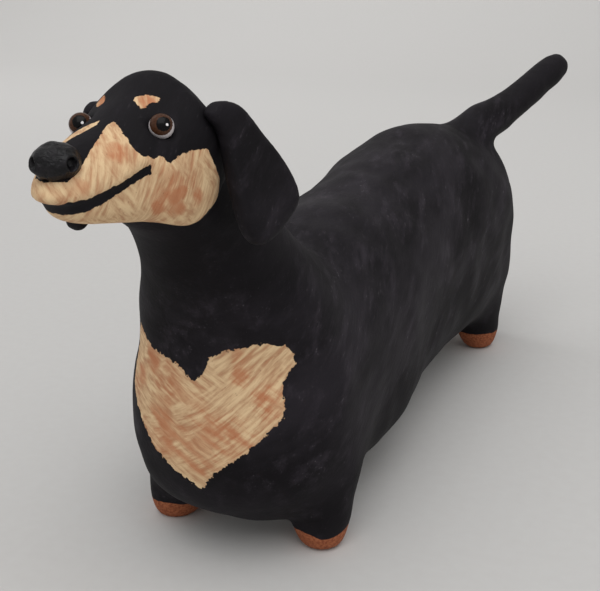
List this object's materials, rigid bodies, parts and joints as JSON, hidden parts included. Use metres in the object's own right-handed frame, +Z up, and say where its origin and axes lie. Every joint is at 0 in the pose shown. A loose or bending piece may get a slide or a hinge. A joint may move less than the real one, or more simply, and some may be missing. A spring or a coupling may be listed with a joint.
{
  "type": "dog figurine",
  "caption": "Standing long-bodied clay dog with a raised head, hanging ears, short tapered legs and a lifted tail.",
  "frame": {"origin": "on the table, under the middle of the box around the whole figurine", "axes": "+Z up, the dog faces -Y, its left side is +X"},
  "size_m": [0.0616, 0.2688, 0.1074],
  "materials": {
    "black_paint": "matte black acrylic brushed over fired terracotta",
    "cream_paint": "matte cream acrylic, streaky, with the orange clay showing through",
    "satin_black_paint": "satin black paint",
    "eye_glaze": "painted brown and black under gloss varnish",
    "terracotta": "bare fired terracotta at the foot"
  },
  "bodies": {
    "root": {"body": "black_paint", "neck": "black_paint", "head": "black_paint", "lower_jaw": "cream_paint", "nose": "satin_black_paint", "left_eye": "eye_glaze", "right_eye": "eye_glaze", "left_ear": "black_paint", "right_ear": "black_paint", "tail": "black_paint", "front_left_leg": "terracotta", "front_right_leg": "terracotta", "rear_left_leg": "terracotta", "rear_right_leg": "terracotta"}
  },
  "joints": []
}
